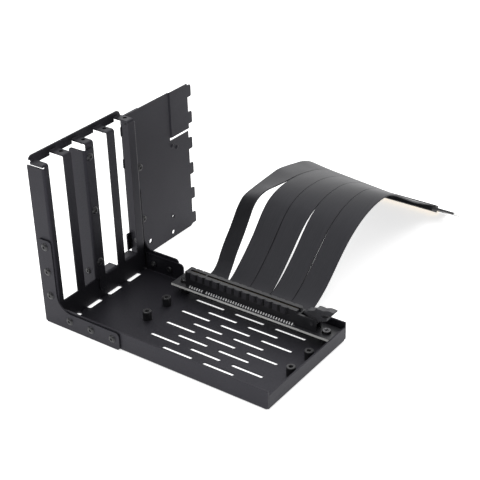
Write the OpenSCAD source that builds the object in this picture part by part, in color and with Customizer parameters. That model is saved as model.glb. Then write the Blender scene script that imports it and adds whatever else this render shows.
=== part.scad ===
// Vertical graphics card mount: a folded steel tray with a frame of slot openings at one end,
// a riser socket standing over the tray, and a split ribbon cable that ends in an edge plug.
// Millimetres, +Z up, +X along the tray away from the slot openings, +Y towards the ribbon cable.
// The origin is under the middle of the metalwork, on the surface that the tray stands on.

/* [Sheet metal] */
// Thickness of every folded sheet
sheet_t = 1; // [0.8:0.1:1.4]
// Outside radius of every fold
bend_r = 1.8; // [1.5:0.1:3]
// Gap left where two edges of sheet pass each other
edge_gap = 0.2; // [0.1:0.05:0.5]
// Width of the relief cut beside a fold
relief_w = 1; // [0.8:0.1:1.5]

/* [Tray] */
// Length of the tray, from the slot frame's back edge to the free end
tray_l = 177.3; // [176:0.1:240]
// Width of the tray over its two side lips
tray_w = 87.2; // [86:0.1:110]
// Height of the lip on the near side
near_lip_h = 14; // [10:0.1:20]
// Height of the lip across the free end
end_lip_h = 10.8; // [6:0.1:20]
// Height of the lip on the ribbon side
back_lip_h = 14.2; // [10:0.1:20]
// Radius of the lips' round corners
lip_corner_r = 3; // [1:0.1:6]
// Start of the gap in the back lip that the ribbon leaves through
ribbon_gap_start = 48; // [46:0.1:49]
// Length of that gap
ribbon_gap_l = 115; // [110:0.1:116]
// Length of one vent slot
vent_l = 23.6; // [10:0.1:28]
// Width of one vent slot
vent_w = 2; // [1:0.1:4]
// Distance between rows and columns of vent slots
vent_pitch = 16; // [12:0.1:20]

/* [Slot frame] */
// Distance between neighbouring expansion slots
slot_pitch = 20.32; // [20.32]
// Middle of the first slot opening, from the near side
slot_first = 11.5; // [10:0.1:13]
// Width of one slot opening
slot_w = 13.6; // [12:0.1:15]
// Depth of the frame, from its front face to its back edge
frame_depth = 14; // [12:0.1:20]
// Height of the ledges that a card's bracket is screwed to
ledge_top = 115.8; // [100:0.1:140]
// Height of the rail under the openings
rail_h = 17.3; // [15:0.1:24]
// Height of the stiffening lip above the ledges
top_lip_rise = 3.4; // [2:0.1:6]
// Height of the frame's side flanges below the ledges
flange_drop = 2.6; // [2:0.1:5]
// Radius of a bracket screw's tapped hole
bracket_hole_r = 1.4; // [1.2:0.05:1.8]

/* [Hook plate] */
// Reach of the plate from the frame's side wall to its hooked edge
plate_w = 68.3; // [60:0.1:80]
// Height of the top edge below the ledges
plate_drop = 2.5; // [2:0.1:6]
// How far each hook stands out of the edge
hook_reach = 4; // [2:0.1:6]
// Height of one hook
hook_h = 8.7; // [6:0.1:12]
// How far the upper corner is set forward
joggle = 0.8; // [0.5:0.1:1]

/* [Rivets and posts] */
// Radius of a rivet's shank
rivet_r = 1.6; // [1.2:0.1:2]
// Radius of a rivet's head
rivet_head_r = 2.7; // [2.3:0.1:3.4]
// Height of a rivet's head
rivet_head_h = 1; // [0.6:0.1:1.4]
// Height of a rivet's tail behind the sheets
rivet_tail_h = 1.4; // [1:0.1:2]
// Clearance round a rivet or a post in its hole
rivet_gap = 0.05; // [0.03:0.01:0.1]
// Radius of a threaded post
post_r = 3; // [2.5:0.1:3.5]
// Height of a threaded post above the tray's floor
post_h = 6.4; // [5:0.1:10]
// Radius of the tapped hole in a post
post_hole_r = 1.25; // [1:0.05:1.5]

/* [Riser socket] */
// Thickness of the two circuit boards
board_t = 1.6; // [1:0.1:2]
// Length of the socket's circuit board
board_l = 125.8; // [120:0.1:130]
// Length of the socket's housing
socket_l = 89; // [88:0.1:92]
// Width of the housing
socket_w = 7.5; // [7:0.1:8.5]
// Height of the housing
socket_h = 11.25; // [10:0.05:13]
// Width of the card slot in the housing
card_slot_w = 1.8; // [1.7:0.05:2]
// Depth of the card slot
card_slot_depth = 8; // [6:0.1:9]
// Distance between neighbouring contacts
contact_pitch = 1; // [1]
// Thickness of the ribbon strips
ribbon_t = 0.9; // [0.6:0.1:1.2]
// Width of the four wide ribbon strips
strip_w = 16; // [14:0.1:16.4]
// Gap between neighbouring strips
strip_gap = 0.75; // [0.3:0.05:1]

/* [Latch] */
// Reach of the latch's lever from its pivot
lever_l = 15.7; // [14:0.1:17]
// Thickness of the latch across the socket
latch_w = 4.4; // [3.6:0.1:4.6]
// Radius of the studs that the latch turns on
stud_r = 1; // [0.8:0.05:1.2]
// Clearance round the studs
stud_gap = 0.05; // [0.03:0.01:0.08]

/* [Hidden] */
$fn = 48;

black_steel = [0.16, 0.16, 0.17];
black_plastic = [0.12, 0.12, 0.13];
slots = 4;
// Slack that lets a cut run clean through a face
through = 1;
// Length of a cut through one or two sheets
cut_l = 4;

// The metalwork's middle, which every piece is moved by
mid_x = (tray_l - rivet_tail_h) / 2;
outer_near = -sheet_t - rivet_head_h;
plate_start = tray_w - sheet_t + bend_r + edge_gap;
plate_end = plate_start + plate_w;
mid_y = (outer_near + plate_end + hook_reach) / 2;

// Vents and folded sheet
vent_columns = 5;
vent_rows = 4;
vent_first = 68.7;
vent_near = 16;
inner_r = bend_r - sheet_t;
flange_top = ledge_top - flange_drop;
lip_start = frame_depth + relief_w;
wall_y = tray_w - sheet_t;
post_hole_depth = 5;
post_foot_r = post_r - 1;

// Slot frame
slot_side = slot_w / 2;
flanged = [2, 3];
flange_side = slot_side - relief_w;
flange_corner_r = 2;
lip_back = sheet_t;
lip_low = ledge_top - 3;
lip_inset = 0.5;
bracket_hole_x = 8.2;
bracket_hole_shift = 10.7;
collar_r = 2.3;
collar_h = 1.2;
tongue_l = 13;
tongue_w = 2.2;
tongue_x = frame_depth + 0.2;
rail_flange_back = 6.5;
bar_flange_back = 8.5;
bar_flange_low = 34;
rear_flange_w = 20;

// Riser socket, with its row of posts in line with the fourth slot row
post_x = [56.5, 169.2];
post_row_first = 36.5;
board_x = 49.8;
board_y = 70.6;
board_z = sheet_t + post_h;
board_top = board_z + board_t;
board_row = post_row_first + 2 * slot_pitch;
socket_x = 60.5;
socket_y = 72.8;
socket_mid = socket_y + socket_w / 2;
socket_top = board_top + socket_h;
contacts = 82;
contacts_before_key = 11;
contact_first = 64.5;
key_gap = 2;

// Plug, which slopes down to the surface with its tip just clear of it
plug_slope = 33;
plug_y = 262;
plug_z = 8.8;
plug_back = -6;
plug_tip = 14.6;
plug_x = 60;
plug_l = 107;

// Ribbon routes, as points in Y and in height over the board, that stay as chosen
route_near = [
    [84.6, 0.45], [88, 0.45], [91, 0.6], [95, 1.9], [100, 5], [107, 10.3], [114, 16.2],
    [121, 22.6], [127, 29.2], [132.5, 35.2], [138, 39.8], [144, 42.8], [152, 44.9], [162, 45.7],
    [174, 45], [186, 43], [198, 40], [210, 36], [221, 31], [233, 23], [244, 14.3]
];
route_far = [
    [84.6, 0.45], [88, 0.45], [91, 0.5], [96, 1.6], [103, 5], [110, 9.2], [118, 15.4],
    [125, 21.4], [132, 26.9], [139, 31.6], [146, 35.4], [154, 38.8], [163, 41.4], [173, 42.9],
    [183, 43], [192, 41.2], [202, 36.6], [212, 30.3], [222, 24], [232, 18], [244, 11.6]
];
route_raised = [
    [84.6, 0.45], [88, 0.45], [91, 0.5], [96, 2.4], [102, 7], [107.5, 13], [113, 19],
    [118.5, 25.4], [124, 32], [129.5, 38], [136, 43.2], [144, 47], [154, 49.2], [165, 49.6],
    [177, 48.4], [189, 46.4], [201, 43.4], [213, 39], [224, 33.4], [235, 25], [245, 15]
];
narrow_strip_w = 12.4;

// Places a piece that is drawn from the frame's back near corner
module placed() translate([-mid_x, -mid_y, 0]) children();

// Stands a flat outline drawn in X and Z up, as a sheet from y to y + sheet_t
module sheet_xz(y) translate([0, y + sheet_t, 0]) rotate([90, 0, 0])
    linear_extrude(sheet_t) children();

// Stands a flat outline drawn in Y and Z up, as a sheet from x to x + t
module sheet_yz(x, t = sheet_t) translate([x, 0, 0]) rotate([90, 0, 90])
    linear_extrude(t) children();

// A quarter ring of sheet, seen along the fold, whose centre is at the origin
module fold_section() intersection() {
    difference() {
        circle(bend_r);
        circle(inner_r);
    }
    square(bend_r + through);
}

// A rectangle given by two opposite corners
module block_2d(low, high) translate(low) square(high - low);
module block(low, high) translate(low) cube(high - low);

// A rectangle with chosen corners rounded: [low left, low right, high right, high left]
module plate_2d(low, high, r, round = [0, 0, 1, 1]) difference() {
    block_2d(low, high);
    corners = [low, [high[0], low[1]], high, [low[0], high[1]]];
    for (i = [0:3]) if (round[i] == 1) translate(corners[i]) rotate(90 * i) difference() {
        translate([-through, -through]) square(r + through);
        translate([r, r]) circle(r);
    }
}

// A slot with round ends, along X, from its middle
module slot_2d(l, w) {
    square([l - w, w], center = true);
    for (side = [-1, 1]) translate([side * (l - w) / 2, 0]) circle(w / 2);
}

function slot_y(i) = slot_first + i * slot_pitch;
function bar_low(i) = i == 0 ? 0 : slot_y(i - 1) + slot_side;
function bar_high(i) = i == slots ? tray_w : slot_y(i) - slot_side;

// Rivet places
gusset_up = [21.9, 39.8, 58];
gusset_along = [23, 41.1, 59];
far_gusset_along = [22, 36];
gusset_rivet_x = 8;
gusset_rivet_z = 7.3;
stiffener_y = 40.1;
stiffener_up = [29.6, 68, 106.4];
plate_rivet_y = plate_start + 13;
plate_rivet_up = [70.4, 30];

module rivet_bore() translate([0, 0, -cut_l]) cylinder(r = rivet_r + rivet_gap, h = 2 * cut_l);
module rivet_bores() {
    near_side() rivet_bore();
    far_side() rivet_bore();
}

// Stands what it is given at each rivet of a gusset, with +Z pointing out of the gusset
module near_side() {
    for (z = gusset_up) translate([gusset_rivet_x, -sheet_t, z]) rotate([90, 0, 0]) children();
    for (x = gusset_along) translate([x, -sheet_t, gusset_rivet_z]) rotate([90, 0, 0])
        children();
}

module far_side() {
    for (z = gusset_up) translate([gusset_rivet_x, tray_w + sheet_t, z]) rotate([-90, 0, 0])
        children();
    for (x = far_gusset_along) translate([x, tray_w + sheet_t, gusset_rivet_z])
        rotate([-90, 0, 0]) children();
}

// A blind rivet through two sheets: the head sits at z = 0 and the tail is behind the sheets
module rivet() rotate_extrude() {
    pack = 2 * sheet_t;
    rim_h = 0.3 * rivet_head_h;
    crown_r = 0.72 * rivet_head_r;
    pit_r = 0.3 * rivet_head_r;
    pit_floor = 0.2;
    tail_r = rivet_r + 0.5;
    difference() {
        union() {
            polygon([[0, 0], [rivet_head_r, 0], [rivet_head_r, rim_h], [crown_r, rivet_head_h],
                [0, rivet_head_h]]);
            translate([0, -pack]) square([rivet_r, pack]);
            translate([0, -pack - rivet_tail_h]) square([tail_r, rivet_tail_h]);
        }
        translate([0, pit_floor]) square([pit_r, rivet_head_h]);
    }
}

module tray() color(black_steel) placed() difference() {
    union() {
        tray_floor();
        tray_folds();
        sheet_xz(0) plate_2d([lip_start, bend_r], [tray_l, near_lip_h], lip_corner_r, [0, 0, 0, 1]);
        sheet_xz(wall_y) plate_2d([lip_start, bend_r], [ribbon_gap_start, back_lip_h],
            lip_corner_r, [0, 0, 1, 0]);
        sheet_xz(wall_y) plate_2d([ribbon_gap_start + ribbon_gap_l, bend_r], [tray_l, back_lip_h],
            lip_corner_r, [0, 0, 0, 1]);
        sheet_yz(tray_l - sheet_t)
            block_2d([sheet_t + edge_gap, bend_r], [wall_y - edge_gap, end_lip_h]);
    }
    rivet_bores();
}

// The floor's flat part, with its vents, the tongue slots and the holes for the posts
module tray_floor() linear_extrude(sheet_t) difference() {
    block_2d([0, 0], [tray_l - bend_r, tray_w]);
    block_2d([lip_start - relief_w, -through], [tray_l, bend_r]);
    block_2d([lip_start - relief_w, tray_w - bend_r], [ribbon_gap_start, tray_w + through]);
    block_2d([ribbon_gap_start + ribbon_gap_l, tray_w - bend_r], [tray_l, tray_w + through]);
    for (i = [0:slots - 1]) translate([tongue_x + tongue_w / 2, slot_y(i)]) rotate(90)
        slot_2d(tongue_l, tongue_w);
    for (column = [0:vent_columns - 1], row = [0:vent_rows - 1])
        translate([vent_first + vent_l / 2 + column * vent_pitch, vent_row(column, row)])
            slot_2d(vent_l, vent_w);
    for (x = post_x, row = [0:2]) translate([x, post_row_first + row * slot_pitch])
        circle(post_foot_r + rivet_gap);
}

// Every other column of vents is set half a row back
function vent_row(column, row) = vent_near + (row + 0.5 * ((column + 1) % 2)) * vent_pitch;

// The folds between the floor and its lips
module tray_folds() {
    fold_length = tray_l - bend_r - lip_start;
    translate([lip_start, bend_r, bend_r]) rotate([0, 90, 0]) rotate(180)
        mirror([1, 0, 0]) linear_extrude(fold_length) fold_section();
    far_fold(lip_start, ribbon_gap_start);
    far_fold(ribbon_gap_start + ribbon_gap_l, tray_l - bend_r);
    translate([tray_l - bend_r, tray_w - bend_r, bend_r]) rotate([90, 0, 0]) mirror([0, 1, 0])
        linear_extrude(tray_w - 2 * bend_r) fold_section();
}

module far_fold(from, to) translate([from, tray_w - bend_r, bend_r]) rotate([90, 0, 90])
    mirror([0, 1, 0]) linear_extrude(to - from) fold_section();

module slot_frame() color(black_steel) placed() difference() {
    union() {
        sheet_yz(frame_depth - sheet_t) frame_face();
        for (i = [0:slots]) ledge(i);
        top_lip();
        frame_sides();
        for (i = flanged) rail_flange(slot_y(i) - flange_side, slot_y(i) + flange_side);
        bar_flange();
    }
    rivet_bores();
    for (z = stiffener_up) translate([0, stiffener_y, z]) rotate([0, 90, 0])
        cylinder(r = rivet_r + rivet_gap, h = frame_depth + through);
    for (z = plate_rivet_up) translate([-through, plate_rivet_y, z]) rotate([0, 90, 0])
        cylinder(r = rivet_r + rivet_gap, h = cut_l);
    for (tab = plate_tabs) block([lip_back - edge_gap, wall_y - through, tab[0] - edge_gap],
        [lip_back + sheet_t + edge_gap, plate_start, tab[1] + edge_gap]);
    for (i = [1:slots]) translate([bracket_hole_x, slot_y(i - 1) + bracket_hole_shift, 0])
        translate([0, 0, ledge_top - cut_l]) cylinder(r = bracket_hole_r, h = cut_l + through);
}

// The face with its four openings, up to where the bars fold back into ledges
module frame_face() difference() {
    block_2d([bend_r, sheet_t], [tray_w - bend_r, ledge_top - bend_r]);
    for (i = [0:slots - 1])
        block_2d([slot_y(i) - slot_side, rail_h], [slot_y(i) + slot_side, ledge_top]);
    for (i = flanged) block_2d([slot_y(i) - flange_side, rail_h - bend_r],
        [slot_y(i) + flange_side, rail_h + through]);
}

function ledge_low(i) = i == 0 ? bend_r : bar_low(i);
function ledge_high(i) = i == slots ? tray_w - bend_r : bar_high(i);

// One bar's top: a fold back, a ledge with its tapped collar, and a fold up into the top lip
module ledge(i) {
    w = ledge_high(i) - ledge_low(i);
    translate([0, ledge_high(i), 0]) rotate([90, 0, 0]) linear_extrude(w) {
        translate([frame_depth - bend_r, ledge_top - bend_r]) fold_section();
        block_2d([lip_back + bend_r, ledge_top - sheet_t], [frame_depth - bend_r, ledge_top]);
        translate([lip_back + bend_r, ledge_top - sheet_t + bend_r]) rotate(180) fold_section();
    }
    if (i > 0) translate([bracket_hole_x, slot_y(i - 1) + bracket_hole_shift, 0])
        translate([0, 0, ledge_top - sheet_t - collar_h]) cylinder(r = collar_r, h = collar_h);
}

// The lip that joins the ledges, hanging a little between them
module top_lip() sheet_yz(lip_back) difference() {
    plate_2d([lip_inset, lip_low], [tray_w - bend_r, ledge_top + top_lip_rise], lip_corner_r);
    for (i = [0:slots]) block_2d([ledge_low(i) - relief_w, lip_low - through],
        [ledge_high(i) + relief_w, ledge_top - sheet_t + bend_r]);
    block_2d([0, lip_low - through], [bar_high(0), ledge_top - sheet_t + bend_r]);
}

// The two side flanges, folded back from the face, and the flange turned out behind the hook plate
module frame_sides() {
    h = flange_top - sheet_t;
    translate([frame_depth - bend_r, bend_r, sheet_t]) mirror([0, 1, 0])
        linear_extrude(h) fold_section();
    translate([frame_depth - bend_r, tray_w - bend_r, sheet_t]) linear_extrude(h) fold_section();
    sheet_xz(0) block_2d([0, sheet_t], [frame_depth - bend_r, flange_top]);
    sheet_xz(wall_y) block_2d([bend_r, sheet_t], [frame_depth - bend_r, flange_top]);
    rear_low = back_lip_h + edge_gap;
    translate([bend_r, wall_y + bend_r, rear_low]) rotate(180)
        linear_extrude(flange_top - rear_low) fold_section();
    sheet_yz(0) plate_2d([wall_y + bend_r, rear_low], [tray_w + rear_flange_w, flange_top],
        lip_corner_r, [0, 1, 1, 0]);
}

// A flange turned back along the rail, behind one opening
module rail_flange(from, to) translate([0, to, 0]) rotate([90, 0, 0])
    linear_extrude(to - from) {
        translate([frame_depth - bend_r, rail_h - bend_r]) fold_section();
        block_2d([rail_flange_back, rail_h - sheet_t], [frame_depth - bend_r, rail_h]);
    }

// A flange turned back along the last bar's edge
module bar_flange() {
    y = bar_low(slots);
    translate([frame_depth - sheet_t, y, bar_flange_low])
        cube([sheet_t, bend_r, flange_top - bar_flange_low]);
    sheet_xz(y) plate_2d([bar_flange_back, bar_flange_low], [frame_depth - sheet_t, flange_top],
        flange_corner_r, [1, 0, 0, 1]);
}

// Stiffener: an angle riveted to the middle bar
stiffener_y0 = 35.5;
stiffener_y1 = 44.2;
stiffener_top = ledge_top - 4.2;
stiffener_low = 8;
stiffener_back = 1.6;
notch_h = 7;
notch_w = 1.1;
angle_corner_r = 2;
angle_hole = [8, 22.4];
angle_hole_r = 1.6;
module bar_stiffener() color(black_steel) placed() difference() {
    union() {
        sheet_yz(frame_depth) difference() {
            plate_2d([stiffener_y0 + bend_r, stiffener_low], [stiffener_y1, stiffener_top],
                angle_corner_r, [0, 1, 1, 0]);
            for (z = stiffener_up) translate([stiffener_y1, z]) rotate(90)
                slot_2d(notch_h, 2 * notch_w);
            block_2d([0, 0], [stiffener_y0 + bend_r + relief_w, rail_h + edge_gap]);
        }
        flange_low = rail_h + edge_gap;
        translate([frame_depth + sheet_t - bend_r, stiffener_y0 + bend_r, flange_low])
            mirror([0, 1, 0]) linear_extrude(stiffener_top - flange_low) fold_section();
        sheet_xz(stiffener_y0) plate_2d([stiffener_back, flange_low],
            [frame_depth + sheet_t - bend_r, stiffener_top], angle_corner_r, [1, 0, 0, 1]);
    }
    for (z = stiffener_up) translate([frame_depth - through, stiffener_y, z]) rotate([0, 90, 0])
        cylinder(r = rivet_r + rivet_gap, h = cut_l);
    translate([angle_hole[0], stiffener_y0 - through, angle_hole[1]]) rotate([-90, 0, 0])
        cylinder(r = angle_hole_r, h = cut_l);
}

// Hook plate: its tabs pass through the frame's side wall, and its hooks have the pitch of the slots
plate_low = 0.3;
chamfer = 1.2;
plate_top = ledge_top - plate_drop;
plate_tabs = [[13.3, 26], [76, 82.7], [99.7, 106.4]];
tab_reach = 1.8;
low_tab_reach = 4.4;
hook_first = 10.2;
hooks = 6;
low_hooks = 4;
hook_corner_r = 1;
slit_low = 76.8;
slit_high = 79.3;
slit_depth = 20.9;
bend_line = plate_end - slit_depth;
plate_hole_r = 1.7;
plate_holes = [[plate_start + 45.2, 4.6], [plate_start + 19.2, 9.2]];
dimples = [[plate_start + 49.2, 72.5], [plate_start + 54.3, 69.6], [plate_start + 45.7, 17.6]];
dimple_h = 0.8;
module hook_plate() color(black_steel) placed() difference() {
    union() {
        sheet_yz(lip_back) difference() {
            union() {
                polygon([[plate_start, plate_low], [plate_end - 2 * chamfer, plate_low],
                    [plate_end, plate_low + chamfer], [plate_end, slit_high], [bend_line, slit_high],
                    [bend_line, plate_top], [plate_start, plate_top]]);
                for (i = [0:low_hooks - 1]) hook_2d(i);
                for (i = [0:2]) tab_2d(i);
            }
            block_2d([bend_line, slit_low],
                [plate_end + hook_reach + through, slit_high + through]);
        }
        set_forward_corner();
        for (at = dimples) translate([lip_back + sheet_t, at[0], at[1]]) rotate([0, 90, 0])
            cylinder(r1 = plate_hole_r, r2 = plate_hole_r - dimple_h, h = dimple_h);
    }
    for (z = plate_rivet_up) translate([0, plate_rivet_y, z]) rotate([0, 90, 0])
        cylinder(r = rivet_r + rivet_gap, h = cut_l);
    for (at = plate_holes) translate([0, at[0], at[1]]) rotate([0, 90, 0])
        cylinder(r = plate_hole_r, h = cut_l);
}

function hook_top(i) = hook_first + i * slot_pitch;
module hook_2d(i) plate_2d([plate_end - through, max(hook_top(i) - hook_h, plate_low + chamfer)],
    [plate_end + hook_reach, hook_top(i)], hook_corner_r, [0, 1, 1, 0]);
module tab_2d(i) {
    reach = i == 0 ? low_tab_reach : tab_reach;
    plate_2d([tray_w - reach, plate_tabs[i][0]], [plate_start + through, plate_tabs[i][1]],
        hook_corner_r, [0, 0, 0, 1]);
}

// The corner above the slit, set forward by a shallow double bend
module set_forward_corner() {
    run = 1.2;
    low = slit_high;
    translate([0, 0, low]) linear_extrude(plate_top - low)
        polygon([[lip_back, bend_line], [lip_back + joggle, bend_line + run],
            [lip_back + sheet_t + joggle, bend_line + run], [lip_back + sheet_t, bend_line]]);
    sheet_yz(lip_back + joggle) {
        block_2d([bend_line + run, low], [plate_end, plate_top]);
        for (i = [low_hooks:hooks - 1]) hook_2d(i);
    }
}

// Gussets: flat angles riveted over the corner of frame and tray
gusset_low = 0.3;
gusset_x = lip_back + sheet_t + 0.3;
gusset_leg_x = frame_depth - 0.5;
gusset_top = 63;
gusset_corner_r = 2.5;
module gusset_2d(end, leg_h, fillet) difference() {
    union() {
        plate_2d([gusset_x, gusset_low], [gusset_leg_x, gusset_top], gusset_corner_r);
        plate_2d([gusset_x, gusset_low], [end, leg_h], gusset_corner_r, [0, 1, 1, 0]);
        block_2d([gusset_leg_x - through, leg_h - through],
            [gusset_leg_x + fillet, leg_h + fillet]);
    }
    translate([gusset_leg_x + fillet, leg_h + fillet]) circle(fillet);
}

module near_gusset() color(black_steel) placed() difference() {
    sheet_xz(-sheet_t) gusset_2d(end = 64.8, leg_h = 12.7, fillet = 11);
    rivet_bores();
}

module far_gusset() color(black_steel) placed() difference() {
    sheet_xz(tray_w) gusset_2d(end = 43, leg_h = 16.3, fillet = 8);
    rivet_bores();
}

module near_gusset_rivets() color("dimgray") placed()
    near_side() rivet();
module far_gusset_rivets() color("dimgray") placed() far_side() rivet();
module stiffener_rivets() color("dimgray") placed() for (z = stiffener_up)
    translate([frame_depth + sheet_t, stiffener_y, z]) rotate([0, 90, 0]) rivet();
module plate_rivets() color("dimgray") placed() for (z = plate_rivet_up)
    translate([lip_back + sheet_t, plate_rivet_y, z]) rotate([0, 90, 0]) rivet();

// A threaded post pressed into the floor
module post(x, row) translate([x, post_row_first + row * slot_pitch, 0]) difference() {
    union() {
        cylinder(r = post_foot_r, h = sheet_t);
        translate([0, 0, sheet_t]) cylinder(r = post_r, h = post_h);
    }
    translate([0, 0, board_z - post_hole_depth])
        cylinder(r = post_hole_r, h = post_hole_depth + through);
}
module card_posts() color("gray") placed() for (x = post_x, row = [0, 1]) post(x, row);
module board_posts() color("gray") placed() for (x = post_x) post(x, 2);

// The socket's circuit board: its middle reaches out through the gap in the back lip
board_out = 91;
board_back = wall_y - 0.5;
board_inset = 10;
board_hole_r = 1.6;
module socket_board() color("gray") placed() translate([0, 0, board_z]) linear_extrude(board_t)
    difference() {
        union() {
            block_2d([board_x, board_y], [board_x + board_l, board_back]);
            block_2d([ribbon_gap_start + board_inset, board_y],
                [ribbon_gap_start + ribbon_gap_l - board_inset / 2, board_out]);
        }
        for (x = post_x) translate([x, board_row]) circle(board_hole_r);
    }

pad_h = 2;
pad_inset = 0.8;
module board_insulator() color(black_plastic) placed()
    block([post_x[0] + post_r + 1, board_y + pad_inset, board_z - pad_h],
        [post_x[1] - post_r - 5, wall_y - 3, board_z]);

function places_skipped(i) = i >= contacts_before_key ? key_gap : 0;
function contact_x(i) = contact_first + (i + places_skipped(i)) * contact_pitch;

// Middle of the key
key_x = contact_x(contacts_before_key) - 1.5 * contact_pitch;

// The housing: ribs down its sides, the card slot with its key, and an end block with two cheeks
cheek_t = 1.5;
end_block_l = 14;
end_block_h = 9.2;
end_block_side = latch_w / 2 + stud_gap + cheek_t;
pivot_x = socket_x + socket_l + 11;
pivot_z = board_top + 5.5;
rib_pitch = 6;
recesses = 14;
recess_first = 3.4;
recess_w = 2;
recess_h = 5;
recess_depth = 0.5;
module socket_housing() color(black_plastic) placed() difference() {
    union() {
        block([socket_x, socket_y, board_top],
            [socket_x + socket_l, socket_y + socket_w, socket_top]);
        block([socket_x + socket_l - through, socket_mid - end_block_side, board_top],
            [socket_x + socket_l + end_block_l, socket_mid + end_block_side,
             board_top + end_block_h]);
    }
    card_slot();
    side_recesses();
    latch_bay();
}

module card_slot() difference() {
    block([contact_first - 1.5 * contact_pitch, socket_mid - card_slot_w / 2,
           socket_top - card_slot_depth],
        [socket_x + socket_l + through, socket_mid + card_slot_w / 2, socket_top + through]);
    block([key_x - 0.5, socket_y, board_top],
        [key_x + 0.5, socket_y + socket_w, socket_top + 2 * through]);
}

// Shallow recesses between the ribs of both long sides, open at the top
module side_recesses() for (i = [0:recesses - 1])
    for (y = [socket_y - through, socket_y + socket_w - recess_depth])
        translate([socket_x + recess_first + i * rib_pitch, y, socket_top - recess_h])
            cube([recess_w, through + recess_depth, recess_h + through]);

// The space that the latch stands and turns in
module latch_bay() {
    bay_side = latch_w / 2 + stud_gap;
    bay_floor = 0.8;
    block([socket_x + socket_l + 2, socket_mid - bay_side, board_top + bay_floor],
        [socket_x + socket_l + end_block_l + through, socket_mid + bay_side, socket_top]);
    translate([pivot_x, socket_mid - socket_w, pivot_z]) rotate([-90, 0, 0])
        cylinder(r = stud_r + stud_gap, h = 2 * socket_w);
}

// Contacts: a row of springs down each side of the card slot, and their feet along the board
contact_w = 0.6;
contact_t = 0.3;
contact_drop = 1.2;
foot_l = 1;
foot_t = 0.35;
module socket_contacts() color("gold") placed() for (i = [0:contacts - 1], side = [-1, 1])
    translate([contact_x(i), socket_mid + side * (card_slot_w - contact_t) / 2,
               socket_top - card_slot_depth])
        linear_extrude(card_slot_depth - contact_drop)
            square([contact_w, contact_t], center = true);

module contact_feet() color("silver") placed() for (i = [0:contacts - 1], side = [-1, 1])
    translate([contact_x(i), socket_mid + side * (socket_w + foot_l) / 2, board_top])
        linear_extrude(foot_t) square([contact_w, foot_l], center = true);

// The latch: a nose that reaches in over the card slot's end, a body over the board's screw,
// and a lever above it that is pressed down to free the card
module socket_latch() color("dimgray") placed() {
    translate([pivot_x, socket_mid + latch_w / 2, pivot_z]) rotate([90, 0, 0])
        linear_extrude(latch_w) latch_2d();
    translate([pivot_x, socket_mid - latch_w / 2 - cheek_t, pivot_z]) rotate([-90, 0, 0])
        cylinder(r = stud_r, h = latch_w + 2 * cheek_t);
}

nose_reach = 6.5;
latch_boss_r = 2.4;
module latch_2d() {
    circle(latch_boss_r);
    polygon([[-latch_boss_r, 0], [latch_boss_r, 0], [3.4, 2.2], [10.3, 4.7], [10.7, 7], [7, 6.1],
        [7, 7.6], [9.9, 8.6], [lever_l - 2.1, 9.5], [lever_l, 12.1], [lever_l - 0.4, 12.7],
        [11.3, 12.8], [7.7, 11.5], [5.5, 11.8], [2.6, 11.5], [1.1, 9.6], [-3.3, 8.2],
        [-nose_reach, 6], [-nose_reach, 5.2], [-3.2, 4.2]]);
}

// A pan-head screw down through the board into its post
screw_head_r = 3.1;
screw_head_h = 1.9;
screw_l = board_t + 3.6;
cross_l = 3.2;
cross_w = 0.7;
cross_floor = 0.7;
module board_screw(x) color("silver") placed() translate([x, board_row, board_top]) difference() {
    union() {
        cylinder(r1 = screw_head_r, r2 = screw_head_r - 0.5, h = screw_head_h);
        translate([0, 0, -screw_l]) cylinder(r = post_hole_r - rivet_gap, h = screw_l);
    }
    for (turn = [0, 90]) rotate(turn) translate([-cross_l / 2, -cross_w / 2, cross_floor])
        cube([cross_l, cross_w, screw_head_h]);
}
module board_screw_left() board_screw(post_x[0]);
module board_screw_right() board_screw(post_x[1]);

// Ribbon strips: flat cable, drawn from above by width and along its route by thickness
plug_along = [cos(plug_slope), -sin(plug_slope)];
plug_up = [sin(plug_slope), cos(plug_slope)];
function on_plug(along, up) = [plug_y, plug_z] + along * plug_along + up * plug_up;
route_end = [for (along = [-8, -4.5, -1]) on_plug(along, (board_t + ribbon_t) / 2)];
function mixed(a, b, share) = [for (i = [0:len(a) - 1]) a[i] * (1 - share) + b[i] * share];
function unit(v) = v / norm(v);
function along_at(p, i) = unit(p[min(i + 1, len(p) - 1)] - p[max(i - 1, 0)]);
function turned(v) = [-v[1], v[0]];
function beside(p, off) = [for (i = [0:len(p) - 1]) p[i] + off * turned(along_at(p, i))];
function backwards(p) = [for (i = [len(p) - 1:-1:0]) p[i]];
ribbon_x = 65.5;
strips = 5;
function strip_x(i) = ribbon_x + (i - 1) * (strip_w + strip_gap);

module strip(i, route, w = strip_w) color([0.19, 0.2, 0.2]) placed()
    translate([strip_x(i), 0, 0]) rotate([90, 0, 90]) linear_extrude(w) {
        points = concat([for (at = route) at + [0, board_top]], route_end);
        polygon(concat(beside(points, ribbon_t / 2), backwards(beside(points, -ribbon_t / 2))));
    }
module ribbon_strip_1() strip(1, route_raised, narrow_strip_w);
module ribbon_strip_2() strip(2, route_near);
module ribbon_strip_3() strip(3, mixed(route_near, route_far, 1 / 3));
module ribbon_strip_4() strip(4, mixed(route_near, route_far, 2 / 3));
module ribbon_strip_5() strip(5, route_far);

// A bead over the ribbon's soldered ends on the socket's board
bead_start = socket_y + socket_w + 1.3;
bead_h = 2;
module solder_cover() color(black_plastic) placed()
    block([ribbon_x - 1, bead_start, board_top],
        [ribbon_x + strips * (strip_w + strip_gap), route_near[0][0] - 0.1, board_top + bead_h]);

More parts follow.
